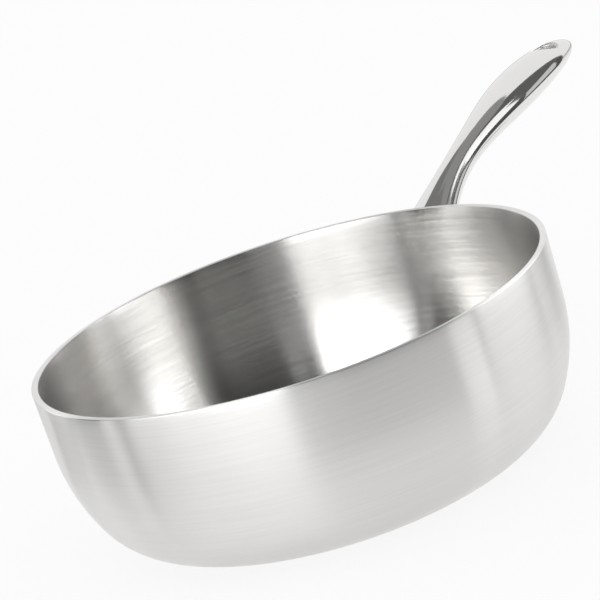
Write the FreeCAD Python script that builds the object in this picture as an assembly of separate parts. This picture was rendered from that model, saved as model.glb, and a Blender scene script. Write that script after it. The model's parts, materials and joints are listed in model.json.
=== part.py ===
import FreeCAD, Part
import math
import os

# Sizes are in millimetres and angles in degrees.
# The pan stands on the origin with +Z up, and its handle runs along +X.

# Outside of the clad body, from the rim down to the base
rim_radius = 120.0
body_height = 86.5
wall_lean = 1.1
curve_start_height = 57.0
heel_angle = 27.5
heel_radius = 37.5

# The five plies of the clad sheet
inner_ply_thickness = 0.5
bond_ply_thickness = 0.3
core_thickness = 1.5
outer_ply_thickness = 0.5
rim_edge_radius = 0.3
rim_limit_share = 0.8

# Handle path, which leaves the wall steeply and flattens towards the tip
root_drop = 16.7
root_rise = 32.0
neck_rise = 12.0
tip_rise = 2.5
neck_bend_radius = 206.0
grip_bend_radius = 540.0

# Distances along the path: wall to neck, neck to widest place, widest place to tip
neck_distance = 52.4
grip_distance = 73.3
tip_length = 56.7

# Handle sections, full widths and thicknesses
root_width = 33.0
root_thickness = 20.0
neck_width = 15.9
neck_thickness = 13.0
grip_width = 27.8
grip_thickness = 18.8
shell_thickness = 1.2

# Hanging hole and the sleeve that lines it
hole_from_tip = 23.3
hole_radius = 6.5
sleeve_wall = 2.4
sleeve_lip_radius = 1.4
lip_limit_share = 0.6

# Bracket that carries the handle, and the welds that hold it
flange_thickness = 1.6
flange_margin = 1.6
weld_gap = 0.3
weld_radius = 2.2
weld_spread_angle = 5.0
weld_rows_apart = 11.0
plug_length = 24.0
plug_clearance = 0.15

# How the handle is divided for its loft; the dome of the tip stops just short of a point
flare_sections = 6
grip_sections = 7
tip_sections = 8
tip_end_angle = 87.0


def point(x, z):
    return FreeCAD.Vector(x, 0, z)


def wall_thickness():
    return inner_ply_thickness + core_thickness + outer_ply_thickness + bond_ply_thickness * 2


def upper_curve_radius():
    # The upper curve joins the straight wall to the heel, so its radius follows from both.
    heel_top = heel_radius * (1 - math.sin(math.radians(heel_angle)))
    turn = math.sin(math.radians(heel_angle)) - math.sin(math.radians(wall_lean))
    return (curve_start_height - heel_top) / turn


def along_arc(centre, radius, angle):
    # The angle is the tilt of the surface below the horizontal, as seen from outside.
    tilt = math.radians(angle)
    return centre + point(radius * math.cos(tilt), -radius * math.sin(tilt))


def wall_radius(height):
    return rim_radius - (body_height - height) * math.tan(math.radians(wall_lean))


def curve_centres():
    lean = math.radians(wall_lean)
    radius = upper_curve_radius()
    start = point(wall_radius(curve_start_height), curve_start_height)
    upper = start - point(radius * math.cos(lean), -radius * math.sin(lean))
    meeting = along_arc(upper, radius, heel_angle)
    heel = along_arc(meeting, -heel_radius, heel_angle)
    return upper, heel


def arc_edge(centre, radius, first, last):
    ends = [along_arc(centre, radius, angle) for angle in (first, (first + last) / 2, last)]
    return Part.Arc(*ends).toShape()


def line_edge(first, last):
    return Part.LineSegment(first, last).toShape()


def side_edges(inset):
    # The outside line from the axis up to the rim, moved inward by inset.
    upper, heel = curve_centres()
    radius = upper_curve_radius() - inset
    foot = along_arc(heel, heel_radius - inset, 90)
    shoulder = along_arc(upper, radius, wall_lean)
    rim = point(rim_radius - inset / math.cos(math.radians(wall_lean)), body_height)
    return [
        line_edge(point(0, inset), foot),
        arc_edge(heel, heel_radius - inset, 90, heel_angle),
        arc_edge(upper, radius, heel_angle, wall_lean),
        line_edge(shoulder, rim),
    ]


def revolved(edges):
    face = Part.Face(Part.Wire(Part.__sortEdges__(edges)))
    return face.revolve(FreeCAD.Vector(0, 0, 0), FreeCAD.Vector(0, 0, 1), 360)


def first_point(edges):
    return edges[0].firstVertex().Point


def last_point(edges):
    return edges[-1].lastVertex().Point


def layer(outer_inset, inner_inset):
    # One ply of the sheet, pressed to the pan's shape.
    outer = side_edges(outer_inset)
    inner = side_edges(inner_inset)
    top = line_edge(last_point(outer), last_point(inner))
    axis = line_edge(first_point(inner), first_point(outer))
    return revolved(outer + [top] + inner + [axis])


def filled_body(inset):
    # Everything inside the outside line, as a solid to trim other pieces with.
    outer = side_edges(inset)
    centre = point(0, body_height)
    return revolved(outer + [line_edge(last_point(outer), centre), line_edge(centre, first_point(outer))])


def round_rim_edge(shape, inset, thickness):
    # The rounding never takes more than its share of the ply that it is cut on.
    rounding = min(rim_edge_radius, thickness * rim_limit_share)
    radius = rim_radius - inset / math.cos(math.radians(wall_lean))
    edges = [edge for edge in shape.Edges if is_rim_circle(edge, radius, thickness)]
    return shape.makeFillet(rounding, edges)


def is_rim_circle(edge, radius, thickness):
    if not isinstance(edge.Curve, Part.Circle):
        return False
    at_rim = abs(edge.Curve.Center.z - body_height) < thickness
    return at_rim and abs(edge.Curve.Radius - radius) < thickness / 2


def make_plies():
    outer_bond = outer_ply_thickness
    core = outer_bond + bond_ply_thickness
    inner_bond = core + core_thickness
    inner = inner_bond + bond_ply_thickness
    return {
        "outer_ply": round_rim_edge(layer(0, outer_bond), 0, outer_ply_thickness),
        "outer_bond_ply": layer(outer_bond, core),
        "core_ply": layer(core, inner_bond),
        "inner_bond_ply": layer(inner_bond, inner),
        "inner_ply": round_rim_edge(layer(inner, wall_thickness()), wall_thickness(), inner_ply_thickness),
    }


def handle_root():
    height = body_height - root_drop
    return point(wall_radius(height), height)


def heading(rise):
    return point(math.cos(math.radians(rise)), math.sin(math.radians(rise)))


def upright(rise):
    return point(-math.sin(math.radians(rise)), math.cos(math.radians(rise)))


def bent(start, rise, radius, turn):
    # Where a path lands that turns down by turn degrees on a bend of this radius.
    return start - upright(rise) * radius + upright(rise - turn) * radius


def path_at(distance):
    # The middle of the handle and its rise, at a distance along its path from the wall.
    root = handle_root()
    if distance < 0:
        return root + heading(root_rise) * distance, root_rise
    neck_turn = root_rise - neck_rise
    grip_turn = neck_rise - tip_rise
    turn = math.degrees(distance / neck_bend_radius)
    if turn < neck_turn:
        return bent(root, root_rise, neck_bend_radius, turn), root_rise - turn
    neck_end = bent(root, root_rise, neck_bend_radius, neck_turn)
    beyond = distance - math.radians(neck_turn) * neck_bend_radius
    turn = math.degrees(beyond / grip_bend_radius)
    if turn < grip_turn:
        return bent(neck_end, neck_rise, grip_bend_radius, turn), neck_rise - turn
    grip_end = bent(neck_end, neck_rise, grip_bend_radius, grip_turn)
    beyond = beyond - math.radians(grip_turn) * grip_bend_radius
    return grip_end + heading(tip_rise) * beyond, tip_rise


def section(distance, half_width, half_thickness):
    # A unit circle in two halves, stretched across the path; the halves meet on top and below.
    middle, rise = path_at(distance)
    ahead = heading(rise)
    up = upright(rise)
    stretch = FreeCAD.Matrix(
        0, up.x * half_thickness, ahead.x, middle.x,
        half_width, 0, 0, 0,
        0, up.z * half_thickness, ahead.z, middle.z,
        0, 0, 0, 1)
    circle = Part.Circle()
    left = Part.ArcOfCircle(circle, math.radians(90), math.radians(270)).toShape()
    right = Part.ArcOfCircle(circle, math.radians(270), math.radians(450)).toShape()
    return Part.Wire([left, right]).transformGeometry(stretch)


def flare_sizes(share):
    # The root opens out towards the wall as a parabola that is level at the neck.
    spread = (1 - share) ** 2
    width = neck_width + (root_width - neck_width) * spread
    thickness = neck_thickness + (root_thickness - neck_thickness) * spread
    return width / 2, thickness / 2


def grip_sizes(share):
    # From the neck the grip swells in a half wave that is level at both ends.
    swell = (1 - math.cos(math.pi * share)) / 2
    width = neck_width + (grip_width - neck_width) * swell
    thickness = neck_thickness + (grip_thickness - neck_thickness) * swell
    return width / 2, thickness / 2


def handle_form(inset):
    # The full handle, or its hollow when inset by the thickness of the shells.
    sections = []
    for step in range(-1, flare_sections):
        share = step / flare_sections
        wide, thick = flare_sizes(share)
        sections.append(section(neck_distance * share, wide - inset, thick - inset))
    for step in range(grip_sections):
        share = step / grip_sections
        wide, thick = grip_sizes(share)
        sections.append(section(neck_distance + grip_distance * share, wide - inset, thick - inset))
    wide = grip_width / 2 - inset
    thick = grip_thickness / 2 - inset
    widest = neck_distance + grip_distance
    for step in range(tip_sections + 1):
        angle = math.radians(tip_end_angle) * step / tip_sections
        reach = (tip_length - inset) * math.sin(angle)
        sections.append(section(widest + reach, wide * math.cos(angle), thick * math.cos(angle)))
    return Part.makeLoft(sections, True)


def above_path():
    # The space over the handle's middle line, whose lower side is the parting of the two shells.
    length = neck_distance + grip_distance + tip_length
    neck_end = math.radians(root_rise - neck_rise) * neck_bend_radius
    grip_end = neck_end + math.radians(neck_rise - tip_rise) * grip_bend_radius
    stops = [path_at(place)[0] for place in (-neck_distance, 0, neck_end, grip_end, grip_end + length)]
    neck_middle = path_at(neck_end / 2)[0]
    grip_middle = path_at((neck_end + grip_end) / 2)[0]
    lift = point(0, length)
    edges = [
        line_edge(stops[0], stops[1]),
        Part.Arc(stops[1], neck_middle, stops[2]).toShape(),
        Part.Arc(stops[2], grip_middle, stops[3]).toShape(),
        line_edge(stops[3], stops[4]),
        line_edge(stops[4], stops[4] + lift),
        line_edge(stops[4] + lift, stops[0] + lift),
        line_edge(stops[0] + lift, stops[0]),
    ]
    face = Part.Face(Part.Wire(edges))
    face.translate(FreeCAD.Vector(0, -root_width, 0))
    return face.extrude(FreeCAD.Vector(0, root_width * 2, 0))


def hole_place():
    middle, rise = path_at(neck_distance + grip_distance + tip_length - hole_from_tip)
    return middle, upright(rise)


def hole_cylinder(radius):
    middle, axis = hole_place()
    return Part.makeCylinder(radius, grip_thickness * 2, middle - axis * grip_thickness, axis)


def is_lip(edge):
    # The lips are the curved edges of the ring that lie on the wall of the hole.
    if isinstance(edge.Curve, Part.Line):
        return False
    middle, axis = hole_place()
    ends = [edge.valueAt(edge.FirstParameter), edge.valueAt(edge.LastParameter)]
    return max(end.distanceToLine(middle, axis) for end in ends) < hole_radius + sleeve_wall / 2


def make_sleeve(form):
    # A ring flush with the shells, with its inner edges rounded on both faces.
    ring = form.common(hole_cylinder(hole_radius + sleeve_wall)).cut(hole_cylinder(hole_radius)).Solids[0]
    lips = [edge for edge in ring.Edges if is_lip(edge)]
    return ring.makeFillet(min(sleeve_lip_radius, sleeve_wall * lip_limit_share), lips)


def flange_outline():
    # The flange is the handle's footprint on the wall with a margin all round.
    root = handle_root()
    half_width = root_width / 2 + flange_margin
    half_height = root_thickness / 2 / math.cos(math.radians(root_rise)) + flange_margin
    stretch = FreeCAD.Matrix(
        0, 0, 1, 0,
        half_width, 0, 0, 0,
        0, half_height, 0, root.z,
        0, 0, 0, 1)
    face = Part.Face(Part.Wire(Part.Circle().toShape()))
    return face.extrude(FreeCAD.Vector(0, 0, rim_radius * 2)).transformGeometry(stretch)


def make_welds():
    root = handle_root()
    gap = filled_body(-weld_gap).cut(filled_body(0))
    spots = []
    for turn in (-weld_spread_angle, 0, weld_spread_angle):
        for row in (-weld_rows_apart / 2, weld_rows_apart / 2):
            spot = Part.makeCylinder(weld_radius, rim_radius, point(root.x / 2, root.z + row), point(1, 0))
            spot.rotate(FreeCAD.Vector(0, 0, 0), FreeCAD.Vector(0, 0, 1), turn)
            spots.append(gap.common(spot))
    return Part.makeCompound([solid for spot in spots for solid in spot.Solids])


def make_bracket():
    back = filled_body(-weld_gap)
    flange = filled_body(-weld_gap - flange_thickness).cut(back).common(flange_outline())
    plug = handle_form(shell_thickness + plug_clearance).cut(back)
    middle, rise = path_at(plug_length)
    reach = Part.makeBox(root_width * 2, root_width * 2, root_width * 2)
    reach.translate(FreeCAD.Vector(-root_width * 2, -root_width, -root_width))
    reach.rotate(FreeCAD.Vector(0, 0, 0), FreeCAD.Vector(0, 1, 0), -rise)
    reach.translate(middle)
    return flange.fuse(plug.common(reach)).removeSplitter()


def make_handle():
    form = handle_form(0)
    hollow = handle_form(shell_thickness)
    upper_space = above_path()
    sleeve_space = hole_cylinder(hole_radius + sleeve_wall)
    wall_space = filled_body(-weld_gap - flange_thickness)
    shells = form.cut(wall_space).cut(sleeve_space)
    return {
        "handle_upper_shell": shells.common(upper_space).cut(hollow),
        "handle_lower_shell": shells.cut(upper_space).cut(hollow),
        "hanging_sleeve": make_sleeve(form),
        "handle_bracket": make_bracket(),
        "projection_welds": make_welds(),
    }


os.makedirs("parts", exist_ok=True)
pieces = make_plies()
pieces.update(make_handle())
for name, shape in pieces.items():
    shape.exportStep("parts/" + name + ".step")
    print(name, len(shape.Solids), round(shape.Volume), shape.isValid(), shape.BoundBox)
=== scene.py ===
# %% [markdown]
# A saucier pan: a bowl drawn from a sheet of five bonded metals, and a hollow
# polished handle welded to its wall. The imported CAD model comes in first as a
# fixed frame. Its solids have the right shape, but their meshes are loose
# triangles, and a bright metal would show every one of them. So the bowl and
# the handle are modelled again here, at the same sizes and in the same place.

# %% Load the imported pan
import json
import math

import bmesh
import bpy
from mathutils import Matrix, Vector

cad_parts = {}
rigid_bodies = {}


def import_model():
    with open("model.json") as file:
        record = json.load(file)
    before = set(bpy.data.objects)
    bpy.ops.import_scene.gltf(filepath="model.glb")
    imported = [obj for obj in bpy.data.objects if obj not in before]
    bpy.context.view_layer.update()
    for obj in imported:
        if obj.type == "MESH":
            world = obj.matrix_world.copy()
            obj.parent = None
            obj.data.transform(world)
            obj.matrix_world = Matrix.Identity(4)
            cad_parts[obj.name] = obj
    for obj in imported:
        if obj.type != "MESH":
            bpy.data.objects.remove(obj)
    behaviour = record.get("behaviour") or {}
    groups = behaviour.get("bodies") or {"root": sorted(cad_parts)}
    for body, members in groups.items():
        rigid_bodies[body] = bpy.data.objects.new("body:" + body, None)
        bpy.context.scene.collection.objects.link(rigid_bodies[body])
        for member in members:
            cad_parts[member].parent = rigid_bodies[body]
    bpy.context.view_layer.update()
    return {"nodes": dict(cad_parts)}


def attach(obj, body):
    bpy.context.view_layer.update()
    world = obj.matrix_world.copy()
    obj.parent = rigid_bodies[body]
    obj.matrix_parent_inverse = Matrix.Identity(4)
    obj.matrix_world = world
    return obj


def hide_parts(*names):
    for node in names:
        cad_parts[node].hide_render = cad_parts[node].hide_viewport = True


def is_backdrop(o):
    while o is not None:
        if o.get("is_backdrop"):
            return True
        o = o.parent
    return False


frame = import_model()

# %% [markdown]
# The camera stands where the photographer's did. The slim ellipse of the rim
# gives its height, the way the handle leaves the bowl gives its turn, and the
# rim runs uphill to the right because the camera was rolled. A long lens far
# away keeps the near and far side of the rim almost equally wide.

# %% Camera
mm = 0.001
rim_height = 86.5 * mm
camera_turn = math.radians(53.05)
camera_rise = math.radians(15.45)
camera_roll = math.radians(18)
camera_distance = 1.4454
camera_slide = (5.8 * mm, 2.9 * mm)
# Blender takes the lens and the sensor in millimetres
lens_length = 194.4
sensor_width = 36

upright = Vector((0, 0, 1))
level_right = Vector((math.cos(camera_turn), -math.sin(camera_turn), 0))
level_away = Vector((math.sin(camera_turn), math.cos(camera_turn), 0))
look = level_away * math.cos(camera_rise) - upright * math.sin(camera_rise)
level_up = level_away * math.sin(camera_rise) + upright * math.cos(camera_rise)
picture_right = level_right * math.cos(camera_roll) - level_up * math.sin(camera_roll)
picture_up = level_right * math.sin(camera_roll) + level_up * math.cos(camera_roll)
stand = upright * rim_height - look * camera_distance
stand += picture_right * camera_slide[0] + picture_up * camera_slide[1]
facing = Matrix((picture_right, picture_up, -look)).transposed()

bpy.ops.object.select_all(action="DESELECT")
bpy.ops.object.camera_add(location=stand, rotation=facing.to_euler())
camera = bpy.context.object
camera.name = "photo_camera"
camera.data.lens = lens_length
camera.data.sensor_width = sensor_width
bpy.context.scene.camera = camera
print("camera at", [round(place, 3) for place in camera.location])

# %% [markdown]
# The bowl is pressed from one flat disc of clad sheet: steel inside, a thick
# aluminium core that spreads the heat, magnetic steel outside, and a soft
# bonding layer on each side of the core. All five follow the same line, one
# inside the other: a flat base, a round heel, a long gentle curve and a short
# straight wall. The line could be typed in as points. Drawing it as with
# ruler and compass is shorter: one point is extruded along each straight run
# and spun about the middle of each arc.

# %% The line of the bowl
wall_lean = math.radians(1.1)
heel_angle = math.radians(27.5)
heel_middle = (76.786 * mm, 37.5 * mm)
curve_middle = (36.259 * mm, 58.597 * mm)
curve_radius = 83.189 * mm
base_parts = 10
heel_steps = 20
curve_steps = 14
wall_parts = 6


def start_point(name, place):
    """One point in edit mode: a small plane whose corners are merged, then moved."""
    bpy.ops.object.select_all(action="DESELECT")
    bpy.ops.mesh.primitive_plane_add(size=mm)
    bpy.context.object.name = name
    bpy.ops.object.mode_set(mode="EDIT")
    bpy.ops.mesh.select_mode(type="VERT")
    bpy.ops.mesh.select_all(action="SELECT")
    bpy.ops.mesh.merge(type="CENTER")
    bpy.ops.transform.translate(value=place)
    return bpy.context.object


def draw_run(across, rise, parts):
    """Extrudes the chosen point along a straight run, in equal parts."""
    for part in range(parts):
        step = (across / parts, 0, rise / parts)
        bpy.ops.mesh.extrude_region_move(TRANSFORM_OT_translate={"value": step})


def draw_arc(middle, angle, steps):
    """Spins the chosen point about the middle of an arc."""
    bpy.ops.mesh.spin(steps=steps, angle=angle, center=(middle[0], 0, middle[1]), axis=(0, 1, 0))


def wall_run(inset):
    """Across and rise of the straight wall, from the curve's end to the rim."""
    rise = rim_height - curve_middle[1] + (curve_radius - inset) * math.sin(wall_lean)
    return rise * math.tan(wall_lean), rise


def draw_up(inset):
    """The bowl's line from the axis to the rim, a given depth under the outside."""
    draw_run(heel_middle[0], 0, base_parts)
    draw_arc(heel_middle, math.pi / 2 - heel_angle, heel_steps)
    draw_arc(curve_middle, heel_angle - wall_lean, curve_steps)
    draw_run(*wall_run(inset), wall_parts)


def draw_down(inset):
    """The same line from the rim back to the axis."""
    across, rise = wall_run(inset)
    draw_run(-across, -rise, wall_parts)
    draw_arc(curve_middle, wall_lean - heel_angle, curve_steps)
    draw_arc(heel_middle, heel_angle - math.pi / 2, heel_steps)
    draw_run(-heel_middle[0], 0, base_parts)


print("straight wall rises", round(wall_run(0)[1] / mm, 2), "mm")

# %% [markdown]
# Each sheet goes up its outer line, across its thickness at the rim and back
# down its inner line, and then turns once about the upright axis. The two
# sharp edges of the rim were broken by a file, so the points there are
# bevelled before the turn.

# %% The five bonded sheets
turn_steps = 256
rim_edge = 0.3 * mm
rim_edge_steps = 4
seam_gap = 0.002 * mm
corner_reach = 0.01 * mm
smooth_angle = math.radians(35)


def spin_round():
    """Turns the drawn line about the axis, closes seam and poles, faces outwards."""
    bpy.ops.mesh.select_all(action="SELECT")
    bpy.ops.mesh.spin(steps=turn_steps, angle=2 * math.pi, center=(0, 0, 0), axis=(0, 0, 1))
    bpy.ops.mesh.select_all(action="SELECT")
    bpy.ops.mesh.remove_doubles(threshold=seam_gap)
    bpy.ops.mesh.normals_make_consistent(inside=False)
    bpy.ops.object.mode_set(mode="OBJECT")
    bpy.ops.object.shade_smooth_by_angle(angle=smooth_angle)


def rim_point(inset):
    """Distance of the rim from the axis, a given depth under the outside."""
    wall_start = curve_middle[0] + (curve_radius - inset) * math.cos(wall_lean)
    return wall_start + wall_run(inset)[0]


def break_edge(piece, inset):
    """Rounds the corner that the drawn line makes at the rim."""
    corner = Vector((rim_point(inset), 0, rim_height))
    bpy.ops.mesh.select_all(action="DESELECT")
    for point in bmesh.from_edit_mesh(piece.data).verts:
        point.select_set((point.co - corner).length < corner_reach)
    bpy.ops.mesh.bevel(offset=rim_edge, segments=rim_edge_steps, affect="VERTICES")


def spun_sheet(node, outer_depth, thickness):
    """One sheet of the clad metal, between two depths under the outside."""
    sheet = start_point(node + "_sheet", (0, 0, outer_depth))
    inner_depth = outer_depth + thickness
    draw_up(outer_depth)
    draw_run(rim_point(inner_depth) - rim_point(outer_depth), 0, 1)
    draw_down(inner_depth)
    if node == "outer_ply":
        break_edge(sheet, outer_depth)
    if node == "inner_ply":
        break_edge(sheet, inner_depth)
    spin_round()
    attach(sheet, "root")
    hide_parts(node)
    print(sheet.name, "has", len(sheet.data.polygons), "faces")
    return sheet


sheet_thickness = {
    "outer_ply": 0.5 * mm,
    "outer_bond_ply": 0.3 * mm,
    "core_ply": 1.5 * mm,
    "inner_bond_ply": 0.3 * mm,
    "inner_ply": 0.5 * mm,
}
sheets = {}
depth = 0
for node, thickness in sheet_thickness.items():
    sheets[node] = spun_sheet(node, depth, thickness)
    depth += thickness
print("wall is", round(depth / mm, 2), "mm thick")

# %% [markdown]
# The handle is pressed in two halves and welded into a hollow spindle. It
# leaves the wall wide and steep, narrows to a neck, swells to the grip and
# closes in a rounded tip. Every cross-section is an ellipse, so it starts as
# a circle that is extruded ring by ring: each new ring is squeezed to its
# width and thickness, turned to the slope of the handle and moved along.

# %% The line and the sections of the handle
root_point = (119.679 * mm, 69.8 * mm)
slopes = [math.radians(angle) for angle in (32, 12, 2.5)]
bend_radii = (206 * mm, 540 * mm)
neck_distance = 52.4 * mm
grip_distance = 125.7 * mm
grip_length = grip_distance - neck_distance
tip_length = 56.64 * mm
root_half = (16.5 * mm, 10 * mm)
neck_half = (7.95 * mm, 6.5 * mm)
grip_half = (13.88 * mm, 9.38 * mm)


def handle_place(distance):
    """Place and slope of the handle's middle line, a distance from the root."""
    across, height, slope = *root_point, slopes[0]
    for end_slope, radius in zip(slopes[1:], bend_radii):
        run = max(0, min(distance, (slope - end_slope) * radius))
        if distance < 0:
            run = distance
        new_slope = slope - run / radius
        across += radius * (math.sin(slope) - math.sin(new_slope))
        height += radius * (math.cos(new_slope) - math.cos(slope))
        slope = new_slope
        distance -= run
    return across + distance * math.cos(slope), height + distance * math.sin(slope), slope


def handle_half(distance):
    """Half width and half thickness of the handle at a distance from the root."""
    if distance < neck_distance:
        share = (1 - distance / neck_distance) ** 2
        return [neck + (root - neck) * share for root, neck in zip(root_half, neck_half)]
    if distance < grip_distance:
        turn = math.pi * (distance - neck_distance) / grip_length
        share = (1 - math.cos(turn)) / 2
        return [neck + (grip - neck) * share for grip, neck in zip(grip_half, neck_half)]
    share = math.sqrt(max(0, 1 - ((distance - grip_distance) / tip_length) ** 2))
    return [grip * share for grip in grip_half]


tip_distance = grip_distance + tip_length
print("handle tip at", [round(place / mm, 1) for place in handle_place(tip_distance)[:2]], "mm")

# %% [markdown]
# The rings lie two to three millimetres apart, and closer and closer towards
# the tip, where the form rounds off fast, so that the mirror finish finds a
# smooth surface. The last ring is drawn together into one point.

# %% The handle as one whole form
ring_points = 192
body_rings = 32
tip_rings = 28


def reshape_ring(old, new):
    """Turns the chosen ring upright, stretches it, tilts it again and moves it."""
    old_place, old_half = handle_place(old), handle_half(old)
    new_place, new_half = handle_place(new), handle_half(new)
    middle = (old_place[0], 0, old_place[1])
    bpy.ops.transform.rotate(value=-old_place[2], orient_axis="Y", center_override=middle)
    stretch = (1, new_half[0] / old_half[0], new_half[1] / old_half[1])
    bpy.ops.transform.resize(value=stretch, center_override=middle)
    bpy.ops.transform.rotate(value=new_place[2], orient_axis="Y", center_override=middle)
    step = (new_place[0] - old_place[0], 0, new_place[1] - old_place[1])
    bpy.ops.transform.translate(value=step)


root_start = -16 * mm
stations = []
for part in range(body_rings + 1):
    stations.append(root_start + (neck_distance - root_start) * part / body_rings)
for part in range(1, body_rings + 1):
    stations.append(neck_distance + grip_length * part / body_rings)
for part in range(1, tip_rings):
    stations.append(grip_distance + tip_length * math.sin(math.pi / 2 * part / tip_rings))

bpy.ops.object.select_all(action="DESELECT")
bpy.ops.mesh.primitive_circle_add(vertices=ring_points, radius=1)
handle_form = bpy.context.object
handle_form.name = "handle_form"
bpy.ops.object.mode_set(mode="EDIT")
bpy.ops.mesh.select_all(action="SELECT")
across, height, slope = handle_place(root_start)
half_width, half_thickness = handle_half(root_start)
bpy.ops.transform.rotate(value=math.pi / 2, orient_axis="Y", center_override=(0, 0, 0))
bpy.ops.transform.resize(value=(1, half_width, half_thickness), center_override=(0, 0, 0))
bpy.ops.transform.rotate(value=slope, orient_axis="Y", center_override=(0, 0, 0))
bpy.ops.transform.translate(value=(across, 0, height))
bpy.ops.mesh.edge_face_add()
for old, new in zip(stations, stations[1:]):
    bpy.ops.mesh.extrude_region_move()
    reshape_ring(old, new)
tip_place = handle_place(tip_distance)
last_place = handle_place(stations[-1])
tip_step = (tip_place[0] - last_place[0], 0, tip_place[1] - last_place[1])
bpy.ops.mesh.extrude_region_move(TRANSFORM_OT_translate={"value": tip_step})
bpy.ops.mesh.merge(type="CENTER")
bpy.ops.mesh.select_all(action="SELECT")
bpy.ops.mesh.normals_make_consistent(inside=False)
bpy.ops.object.mode_set(mode="OBJECT")
bpy.ops.object.shade_smooth_by_angle(angle=smooth_angle)
print("handle form has", len(handle_form.data.polygons), "faces")

# %% [markdown]
# The root of the handle stands on the bracket's flange, a thin plate that
# follows the wall, and the hanging hole goes through near the tip. Both are
# cut out of the closed form with Boolean modifiers. The cut faces are removed
# again, because the real halves are thin sheet: what stays is the skin, and
# it is parted along the seam and given its thickness inwards.

# %% Cut the root and the hanging hole
flange_depth = 1.9 * mm
hole_middle = Vector((272.390, 0, 107.780)) * mm
hole_axis = Vector((-0.04795, 0, 0.99885))
sleeve_radius = 8.9 * mm
cutter_length = 60 * mm


def cut_away(piece, tool):
    """Takes the tool's shape out of the piece and deletes the tool."""
    bpy.ops.object.select_all(action="DESELECT")
    bpy.context.view_layer.objects.active = piece
    piece.select_set(True)
    cut = piece.modifiers.new("cut", "BOOLEAN")
    cut.operation = "DIFFERENCE"
    cut.solver = "EXACT"
    cut.object = tool
    bpy.ops.object.modifier_apply(modifier=cut.name)
    bpy.data.objects.remove(tool)


def copy_of(piece, name):
    """A copy of a piece with its own mesh."""
    bpy.ops.object.select_all(action="DESELECT")
    bpy.context.view_layer.objects.active = piece
    piece.select_set(True)
    bpy.ops.object.duplicate()
    bpy.context.object.name = name
    return bpy.context.object


handle_skin = copy_of(handle_form, "handle_skin")
wall_space = start_point("wall_space", (0, 0, -flange_depth))
draw_up(-flange_depth)
draw_run(-rim_point(-flange_depth), 0, 1)
spin_round()
cut_away(handle_skin, wall_space)

hole_turn = (0, math.asin(hole_axis.x), 0)
bpy.ops.object.select_all(action="DESELECT")
bpy.ops.mesh.primitive_cylinder_add(
    vertices=ring_points,
    radius=sleeve_radius,
    depth=cutter_length,
    location=hole_middle,
    rotation=hole_turn,
)
cut_away(handle_skin, bpy.context.object)
print("cut handle has", len(handle_skin.data.polygons), "faces")

# %% [markdown]
# The seam runs along both flanks of the handle, halfway up. A face belongs to
# the upper half if it lies above the handle's middle line, which is found by
# walking along the line until it stands square to the face.

# %% Keep the skin and part it along the seam
walk_steps = 8
cut_gap = 0.1 * mm
# A face of the root's cut looks back at the bowl, against the outward way
faces_wall = -0.8


def above_seam(place):
    """How far a place lies above the handle's middle surface, where the halves meet."""
    distance = place.x - root_point[0]
    for step in range(walk_steps):
        across, height, slope = handle_place(distance)
        ahead, rise = place.x - across, place.z - height
        distance += ahead * math.cos(slope) + rise * math.sin(slope)
    return rise * math.cos(slope) - ahead * math.sin(slope)


def from_hole_axis(place):
    """The way from the axis of the hanging hole to a place, square to the axis."""
    way = place - hole_middle
    return way - hole_axis * way.dot(hole_axis)


def on_cut(face):
    """True for a face of the root's cut or of the hole's wall."""
    place = face.calc_center_median()
    outward = Vector((place.x, place.y, 0)).normalized()
    wall_gap = math.hypot(place.x, place.y) - rim_point(-flange_depth)
    wall_gap += (rim_height - place.z) * math.tan(wall_lean)
    from_hole = from_hole_axis(place)
    at_root = abs(wall_gap) < cut_gap and face.normal.dot(outward) < faces_wall
    at_hole = from_hole.length < sleeve_radius and face.normal.dot(from_hole) < 0
    return at_root or at_hole


def choose_faces(piece, test):
    """Selects the faces of a piece in edit mode that pass a test."""
    bpy.ops.mesh.select_mode(type="FACE")
    bpy.ops.mesh.select_all(action="DESELECT")
    for face in bmesh.from_edit_mesh(piece.data).faces:
        face.select_set(test(face))


bpy.ops.object.select_all(action="DESELECT")
bpy.context.view_layer.objects.active = handle_skin
handle_skin.select_set(True)
bpy.ops.object.mode_set(mode="EDIT")
choose_faces(handle_skin, on_cut)
bpy.ops.mesh.delete(type="FACE")
choose_faces(handle_skin, lambda face: above_seam(face.calc_center_median()) < 0)
bpy.ops.mesh.separate(type="SELECTED")
bpy.ops.object.mode_set(mode="OBJECT")
lower_skin = [piece for piece in bpy.context.selected_objects if piece != handle_skin][0]
print("upper half", len(handle_skin.data.polygons), "faces, lower half", len(lower_skin.data.polygons))

# %% [markdown]
# A polished surface gives the seam away if the shading of the two halves
# differs by even one degree. So each half gets its sheet thickness inwards
# and then takes its normals from the whole form, as if it had never been cut:
# the polishing wheel, too, runs over the seam as if it weren't there.

# %% The two halves of the handle
shell_thickness = 1.2 * mm


def finish_shell(skin, node):
    """Gives a half of the handle its thickness and the whole form's shading."""
    bpy.ops.object.select_all(action="DESELECT")
    bpy.context.view_layer.objects.active = skin
    skin.select_set(True)
    skin.name = node + "_pressing"
    skin.vertex_groups.new(name="inside")
    wall = skin.modifiers.new("wall", "SOLIDIFY")
    wall.thickness = shell_thickness
    wall.offset = -1
    wall.shell_vertex_group = "inside"
    bpy.ops.object.modifier_apply(modifier=wall.name)
    polish = skin.modifiers.new("polish", "DATA_TRANSFER")
    polish.object = handle_form
    polish.use_loop_data = True
    polish.data_types_loops = {"CUSTOM_NORMAL"}
    polish.loop_mapping = "POLYINTERP_NEAREST"
    polish.vertex_group = "inside"
    polish.invert_vertex_group = True
    bpy.ops.object.modifier_apply(modifier=polish.name)
    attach(skin, "root")
    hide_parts(node)
    print(skin.name, "has", len(skin.data.polygons), "faces")
    return skin


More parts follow.
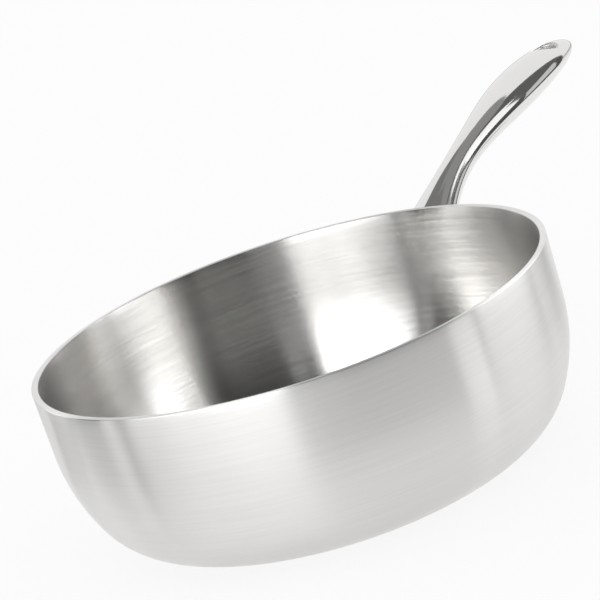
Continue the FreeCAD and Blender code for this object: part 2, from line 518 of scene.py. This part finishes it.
upper_shell = finish_shell(handle_skin, "handle_upper_shell")
lower_shell = finish_shell(lower_skin, "handle_lower_shell")

# %% [markdown]
# A short tube lines the hanging hole and joins the two halves there. Its ends
# are rolled over into smooth lips that follow the curve of the handle. It
# starts as flat rings about the hole's axis. A Shrinkwrap modifier throws
# them onto the handle, upwards for one lip and downwards for the other, the
# inner rings are lowered along a quarter circle, and bridges close the tube.

# %% The sleeve of the hanging hole
hole_radius = 6.5 * mm
lip_radius = 1.4 * mm
lip_steps = 8
ring_tolerance = 0.004 * mm


def lip_rings():
    """Radii of the lip's rings and how far each one lies under the handle's surface."""
    rings = [(sleeve_radius, 0), ((sleeve_radius + hole_radius + lip_radius) / 2, 0)]
    for step in range(lip_steps + 1):
        turn = math.pi / 2 * step / lip_steps
        radius = hole_radius + lip_radius * (1 - math.sin(turn))
        rings.append((radius, lip_radius * (1 - math.cos(turn))))
    return rings


def at_radius(point, radius):
    """True if a point lies at a distance from the hole's axis."""
    return abs(from_hole_axis(point.co).length - radius) < ring_tolerance


def thrown_lip(upwards):
    """One lip of the sleeve, thrown onto the handle along the hole's axis."""
    bpy.ops.object.select_all(action="DESELECT")
    bpy.ops.mesh.primitive_circle_add(
        vertices=ring_points, radius=sleeve_radius, location=hole_middle, rotation=hole_turn
    )
    lip = bpy.context.object
    bpy.ops.object.mode_set(mode="EDIT")
    bpy.ops.mesh.select_mode(type="VERT")
    bpy.ops.mesh.select_all(action="SELECT")
    rings = lip_rings()
    radii = [radius for radius, sunk in rings]
    for old, new in zip(radii, radii[1:]):
        bpy.ops.mesh.extrude_region_move()
        bpy.ops.transform.resize(value=(new / old,) * 3, center_override=hole_middle)
    bpy.ops.object.mode_set(mode="OBJECT")
    throw = lip.modifiers.new("throw", "SHRINKWRAP")
    throw.target = handle_form
    throw.wrap_method = "PROJECT"
    throw.use_project_z = True
    throw.use_positive_direction = upwards
    throw.use_negative_direction = not upwards
    bpy.ops.object.modifier_apply(modifier=throw.name)
    bpy.ops.object.transform_apply(location=True, rotation=True, scale=True)
    bpy.ops.object.mode_set(mode="EDIT")
    for radius, sunk in rings:
        bpy.ops.mesh.select_all(action="DESELECT")
        for point in bmesh.from_edit_mesh(lip.data).verts:
            point.select_set(at_radius(point, radius))
        bpy.ops.transform.translate(value=hole_axis * (-sunk if upwards else sunk))
    bpy.ops.object.mode_set(mode="OBJECT")
    return lip


upper_lip = thrown_lip(True)
lower_lip = thrown_lip(False)
upper_lip.select_set(True)
lower_lip.select_set(True)
bpy.context.view_layer.objects.active = upper_lip
bpy.ops.object.join()
sleeve = bpy.context.object
sleeve.name = "hanging_sleeve_rolled"

bpy.ops.object.mode_set(mode="EDIT")
bpy.ops.mesh.select_mode(type="EDGE")
for radius in (hole_radius, sleeve_radius):
    bpy.ops.mesh.select_all(action="DESELECT")
    for edge in bmesh.from_edit_mesh(sleeve.data).edges:
        edge.select_set(all(at_radius(point, radius) for point in edge.verts))
    bpy.ops.mesh.bridge_edge_loops()
bpy.ops.mesh.select_all(action="SELECT")
bpy.ops.mesh.normals_make_consistent(inside=False)
bpy.ops.object.mode_set(mode="OBJECT")
bpy.ops.object.shade_smooth_by_angle(angle=smooth_angle)
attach(sleeve, "root")
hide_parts("hanging_sleeve")
bpy.data.objects.remove(handle_form)
print(sleeve.name, "has", len(sleeve.data.polygons), "faces")

# %% [markdown]
# Colours are written as sRGB hex values, as a paint chart would give them,
# and one function turns them into the linear values that Blender computes
# with. Another small function adds one node with its settings and links.

# %% Colours and nodes


def colour(hex_value):
    """Linear colour of an sRGB hex value."""
    parts = [int(hex_value[place : place + 2], 16) / 255 for place in (1, 3, 5)]
    linear = [part / 12.92 if part <= 0.04045 else ((part + 0.055) / 1.055) ** 2.4 for part in parts]
    return (*linear, 1)


def add(tree, kind, settings=(), **inputs):
    """One node with its settings, and its inputs as values or links.

    An input named _0 is the node's first one, _1 its second one, and so on.
    """
    node = tree.nodes.new(kind)
    for name, value in dict(settings).items():
        setattr(node, name, value)
    for name, value in inputs.items():
        socket = node.inputs[int(name[1:]) if name[1:].isdigit() else name.replace("_", " ")]
        if isinstance(value, bpy.types.NodeSocket):
            tree.links.new(value, socket)
        else:
            socket.default_value = value
    return node


def new_material(name):
    """An empty material and its node tree."""
    material = bpy.data.materials.new(name)
    material.use_nodes = True
    material.node_tree.nodes.clear()
    return material, material.node_tree


def dress(piece, material):
    """Puts one material on a piece, in place of any it has."""
    piece.data.materials.clear()
    piece.data.materials.append(material)


print("mid grey in linear light:", round(colour("#808080")[0], 3))

# %% [markdown]
# The bowl's steel is satin: it turns on a lathe while an abrasive belt is held
# against it, which leaves fine rings. Each ring is a groove with sloping
# sides, so a reflection is smeared across the grooves and stays sharp along
# them: everything the wall mirrors turns into upright bands. The shader's
# anisotropy gives that smear, because the grooves themselves, a hundredth of
# a millimetre wide, are far too fine to draw. What the eye makes out are
# streaks where the belt bit deeper. They are drawn as a noise that is long
# round the axis and short across, about one millimetre wide so that they show
# in the picture. It makes the steel darker or lighter and leans it up or down.

# %% Steel brushed in rings
streak_width = 1.0 * mm
streaks_round = 14
# Most values of Blender's noise lie between these two
noise_low = 0.3
noise_high = 0.7


def ring_brushed(name, tint, roughness, tone, lean):
    """Metal brushed in rings about the upright axis.

    Streaks change its colour by up to the share tone and its slope by up to lean.
    """
    material, tree = new_material(name)
    place = add(tree, "ShaderNodeTexCoord").outputs["Object"]
    height = add(tree, "ShaderNodeSeparateXYZ", Vector=place).outputs["Z"]
    level = (1, 1, 0)
    flat = add(tree, "ShaderNodeVectorMath", {"operation": "MULTIPLY"}, _0=place, _1=level).outputs[0]
    radius = add(tree, "ShaderNodeVectorMath", {"operation": "LENGTH"}, _0=flat).outputs["Value"]
    way = add(tree, "ShaderNodeVectorMath", {"operation": "NORMALIZE"}, _0=flat).outputs[0]
    across = add(tree, "ShaderNodeMath", {"operation": "ADD"}, _0=radius, _1=height).outputs[0]
    lines = add(tree, "ShaderNodeMath", {"operation": "DIVIDE"}, _0=across, _1=streak_width).outputs[0]
    rise = add(tree, "ShaderNodeCombineXYZ", Z=lines).outputs[0]
    stretch = (streaks_round / (2 * math.pi),) * 3
    spot = add(
        tree, "ShaderNodeVectorMath", {"operation": "MULTIPLY_ADD"}, _0=way, _1=stretch, _2=rise
    ).outputs[0]
    streak = add(tree, "ShaderNodeTexNoise", Vector=spot, Scale=1.0, Detail=1.0).outputs["Fac"]
    limits = {"Value": streak, "_1": noise_low, "_2": noise_high}
    shade = add(tree, "ShaderNodeMapRange", **limits, _3=1 - tone, _4=1 + tone).outputs[0]
    slope = add(tree, "ShaderNodeMapRange", **limits, _3=-lean, _4=lean).outputs[0]
    plain = colour(tint)[:3]
    base = add(tree, "ShaderNodeVectorMath", {"operation": "SCALE"}, _0=plain, Scale=shade).outputs[0]
    rings = add(tree, "ShaderNodeTangent", {"direction_type": "RADIAL", "axis": "Z"}).outputs[0]
    normal = add(tree, "ShaderNodeNewGeometry").outputs["Normal"]
    cross = {"operation": "CROSS_PRODUCT"}
    over = add(tree, "ShaderNodeVectorMath", cross, _0=normal, _1=rings).outputs[0]
    tilt = add(tree, "ShaderNodeVectorMath", {"operation": "SCALE"}, _0=over, Scale=slope).outputs[0]
    tilted = add(tree, "ShaderNodeVectorMath", {"operation": "ADD"}, _0=normal, _1=tilt).outputs[0]
    groove = add(tree, "ShaderNodeVectorMath", {"operation": "NORMALIZE"}, _0=tilted).outputs[0]
    metal = add(
        tree, "ShaderNodeBsdfPrincipled", Base_Color=base, Metallic=1.0, Roughness=roughness,
        Anisotropic=1.0, Anisotropic_Rotation=0.25, Tangent=rings, Normal=groove,
    )
    add(tree, "ShaderNodeOutputMaterial", Surface=metal.outputs[0])
    return material


outer_steel = ring_brushed("stainless_steel_satin_ring_brushed", "#f0efed", 0.33, 0.02, 0.01)
inner_steel = ring_brushed("stainless_steel_bright_ring_brushed", "#dedddb", 0.27, 0.08, 0.02)
edge_metal = ring_brushed("aluminium_filed_edge", "#efeeec", 0.32, 0.03, 0.02)
dress(sheets["outer_ply"], outer_steel)
dress(sheets["inner_ply"], inner_steel)
for node in ("outer_bond_ply", "core_ply", "inner_bond_ply"):
    dress(sheets[node], edge_metal)
print("bowl dressed in", outer_steel.name, "and", inner_steel.name)

# %% [markdown]
# The other steel has no direction. The handle was polished on a cloth wheel
# until it mirrors the room, and only a faint haze of the wheel comes and goes.
# The bore and the lips of the hanging hole are as drawn, a soft satin that
# scatters light down the hole. The bracket is cast and only blasted clean, and
# the weld spots between it and the wall are dull and slightly browned by the
# heat.

# %% Steel without a direction


def plain_steel(name, tint, smoothest, roughest, grain):
    """Steel whose roughness comes and goes between two values, over a distance grain."""
    material, tree = new_material(name)
    place = add(tree, "ShaderNodeTexCoord").outputs["Object"]
    haze = add(tree, "ShaderNodeTexNoise", Vector=place, Scale=1 / grain, Detail=3.0).outputs["Fac"]
    limits = {"Value": haze, "_1": noise_low, "_2": noise_high}
    gloss = add(tree, "ShaderNodeMapRange", **limits, _3=smoothest, _4=roughest).outputs[0]
    metal = add(tree, "ShaderNodeBsdfPrincipled", Base_Color=colour(tint), Metallic=1.0, Roughness=gloss)
    add(tree, "ShaderNodeOutputMaterial", Surface=metal.outputs[0])
    return material


satin_lip = 1.3 * mm
polished = plain_steel("stainless_steel_mirror_polished", "#ecebe9", 0.06, 0.09, 9 * mm)
satin = plain_steel("stainless_steel_drawn_satin", "#e6e5e3", 0.45, 0.55, 3 * mm)
blasted = plain_steel("stainless_steel_cast_blasted", "#d6d5d2", 0.36, 0.46, 2 * mm)
browned = plain_steel("stainless_steel_weld_browned", "#b9b2a6", 0.42, 0.55, 1 * mm)
for piece in (upper_shell, lower_shell, sleeve):
    dress(piece, polished)
dress(frame["nodes"]["handle_bracket"], blasted)
dress(frame["nodes"]["projection_welds"], browned)

sleeve.data.materials.append(satin)
bpy.ops.object.select_all(action="DESELECT")
bpy.context.view_layer.objects.active = sleeve
sleeve.active_material_index = 1
bpy.ops.object.mode_set(mode="EDIT")
satin_radius = hole_radius + satin_lip
choose_faces(sleeve, lambda face: from_hole_axis(face.calc_center_median()).length < satin_radius)
bpy.ops.object.material_slot_assign()
bpy.ops.object.mode_set(mode="OBJECT")
print("handle dressed in", polished.name)

# %% [markdown]
# The pan stands on white paper in a white room. To the camera most of the
# paper is simply white, and a share of it stays plain matt so that the pan
# keeps its shadow. To a reflection half of it is bright near the pan, and
# that brightness fades away further off.

# %% Paper floor and white room
paper_size = 8
paper_drop = 0.1 * mm
shown_share = 0.85
mirrored_share = 0.5
fade_start = 600 * mm
fade_end = 1500 * mm
room_light = 0.9

bpy.ops.object.select_all(action="DESELECT")
bpy.ops.mesh.primitive_plane_add(size=paper_size, location=(0, 0, -paper_drop))
floor = bpy.context.object
floor.name = "studio_floor"
floor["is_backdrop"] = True
paper, tree = new_material("white_studio_paper")
ray = add(tree, "ShaderNodeLightPath").outputs
times = {"operation": "MULTIPLY"}
larger = {"operation": "MAXIMUM"}
shown = add(tree, "ShaderNodeMath", times, _0=ray["Is Camera Ray"], _1=shown_share).outputs[0]
mirrored = add(tree, "ShaderNodeMath", times, _0=ray["Is Glossy Ray"], _1=mirrored_share).outputs[0]
share = add(tree, "ShaderNodeMath", larger, _0=shown, _1=mirrored).outputs[0]
place = add(tree, "ShaderNodeTexCoord").outputs["Object"]
away = add(tree, "ShaderNodeVectorMath", {"operation": "LENGTH"}, _0=place).outputs["Value"]
fade = {"Value": away, "_1": fade_start, "_2": fade_end}
near = add(tree, "ShaderNodeMapRange", **fade, _3=1.0, _4=0.0).outputs[0]
light = add(tree, "ShaderNodeMath", larger, _0=ray["Is Camera Ray"], _1=near).outputs[0]
matt = add(tree, "ShaderNodeBsdfDiffuse", Color=colour("#fafafa")).outputs[0]
white = add(tree, "ShaderNodeEmission", Color=colour("#ffffff"), Strength=light).outputs[0]
mix = add(tree, "ShaderNodeMixShader", _0=share, _1=matt, _2=white).outputs[0]
add(tree, "ShaderNodeOutputMaterial", Surface=mix)
dress(floor, paper)

world = bpy.data.worlds.new("white_room")
bpy.context.scene.world = world
world.use_nodes = True
world.node_tree.nodes.clear()
walls = add(world.node_tree, "ShaderNodeBackground", Color=colour("#ffffff"), Strength=room_light)
add(world.node_tree, "ShaderNodeOutputWorld", Surface=walls.outputs[0])
bpy.context.scene.view_settings.view_transform = "Standard"
print("floor and white room set")

# %% [markdown]
# Bright metal shows its surroundings, so the lamps matter as much as the
# finish. One softbox stands to the left of the camera and one to the right,
# and between them is the dark room where the photographer stands: that is the
# dark band inside the bowl and the grey patch on its outside. They are made
# as upright cards bent round the pan, a line drawn up and spun about the axis.
# A softbox isn't equally bright all over, so each is made of several cards,
# and low ones stand for the lit table. Their strengths are set so that the
# bands on the bowl come close to the photograph's. The far cards are a dark
# corner with a few bright strips, for the handle to mirror. Only reflections
# see the cards, so they neither hide the pan nor light the paper.

# %% Softboxes and dark room
glow_low = 160 * mm
glow_high = 240 * mm
degrees_per_step = 3
near_distance = 300 * mm
dark_distance = 330 * mm
strip_distance = 690 * mm
corner_distance = 700 * mm
ceiling_size = 2
ceiling_height = 1400 * mm
ceiling_light = 0.2


def glow(name, lower, upper):
    """Light of a card that goes from a lower to an upper strength between two heights."""
    material, tree = new_material(name)
    place = add(tree, "ShaderNodeTexCoord").outputs["Object"]
    height = add(tree, "ShaderNodeSeparateXYZ", Vector=place).outputs["Z"]
    limits = {"Value": height, "_1": glow_low, "_2": glow_high}
    light = add(tree, "ShaderNodeMapRange", **limits, _3=lower, _4=upper).outputs[0]
    lamp = add(tree, "ShaderNodeEmission", Color=colour("#ffffff"), Strength=light).outputs[0]
    add(tree, "ShaderNodeOutputMaterial", Surface=lamp)
    return material


def only_reflected(piece, material):
    """Makes a piece of the stage that only reflections see."""
    dress(piece, material)
    piece.visible_camera = False
    piece.visible_diffuse = False
    piece.visible_shadow = False
    piece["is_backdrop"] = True


def bent_card(name, start, end, bottom, top, lower, upper, distance):
    """An upright card bent round the pan, at a distance from its axis.

    It goes from start to end in degrees, 0 towards the camera and plus to its right,
    and from bottom to top in millimetres.
    """
    first_angle = math.radians(start)
    sweep = math.radians(end - start)
    first = level_right * math.sin(first_angle) - level_away * math.cos(first_angle)
    card = start_point(name, first * distance + upright * bottom * mm)
    draw_run(0, (top - bottom) * mm, 1)
    bpy.ops.mesh.select_all(action="SELECT")
    steps = max(2, round((end - start) / degrees_per_step))
    bpy.ops.mesh.spin(steps=steps, angle=-sweep, center=(0, 0, 0), axis=(0, 0, 1))
    bpy.ops.object.mode_set(mode="OBJECT")
    only_reflected(card, glow(name, lower, upper))


# Each row: start and end angle, bottom and top, lower and upper strength
near_cards = {
    "softbox_left": (-40, -12, 80, 450, 1.5, 6.8),
    "softbox_left_far": (-60, -40, 80, 450, 1.6, 5.0),
    "softbox_left_side": (-70, -60, 80, 450, 1.9, 3.4),
    "strip_left": (-80, -75, 80, 450, 1.6, 1.0),
    "softbox_left_rim": (-12, -8, 80, 450, 1.8, 0.8),
    "softbox_left_spill": (-8, 0, 80, 200, 0.6, 0.6),
    "softbox_left_fade": (0, 10, 80, 450, 0.3, 0.4),
    "table_left": (-100, -72, 0, 80, 0.66, 0.66),
    "table_front": (-8, 10, 0, 80, 0.6, 0.6),
    "table_right": (10, 51, 0, 80, 0.72, 0.72),
    "table_far_right": (51, 62, 0, 80, 1.5, 1.5),
    "softbox_right": (64, 88, 80, 450, 2.4, 0.2),
    "softbox_right_tall": (88, 97, 80, 450, 2.6, 3.8),
    "softbox_right_side": (97, 105, 80, 450, 1.1, 2.9),
    "softbox_right_end": (105, 118, 130, 330, 3.0, 3.0),
    "table_end": (105, 128, 0, 50, 0.5, 0.5),
    "card_left": (-120, -100, 80, 200, 2.0, 2.0),
    "card_back_left": (-150, -120, 0, 450, 0.75, 1.0),
}
dark_corner_cards = {
    "dark_corner": (97, 131, 0, 800, 0.08, 0.12),
    "dark_corner_top": (97, 165, 800, 1500, 0.28, 0.28),
}
corner_strips = {
    "corner_strip": (97, 106, 240, 480, 1.1, 1.1),
    "corner_strip_top": (99, 110, 480, 720, 1.1, 1.1),
    "corner_table": (109, 126, 60, 220, 0.6, 0.6),
}
dark_room = {"dark_room": (-150, 105, 0, 1400, 0, 0)}
card_sets = (
    (near_cards, near_distance),
    (dark_room, dark_distance),
    (dark_corner_cards, corner_distance),
    (corner_strips, strip_distance),
)
for cards, distance in card_sets:
    for name, card in cards.items():
        bent_card(name, *card, distance)
bpy.ops.object.select_all(action="DESELECT")
bpy.ops.mesh.primitive_plane_add(size=ceiling_size, location=(0, 0, ceiling_height))
bpy.ops.object.transform_apply(location=True)
ceiling = bpy.context.object
ceiling.name = "ceiling"
only_reflected(ceiling, glow("ceiling", ceiling_light, ceiling_light))
stage_pieces = [piece for piece in bpy.data.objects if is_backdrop(piece)]
print("stage holds", len(stage_pieces), "cards and papers")
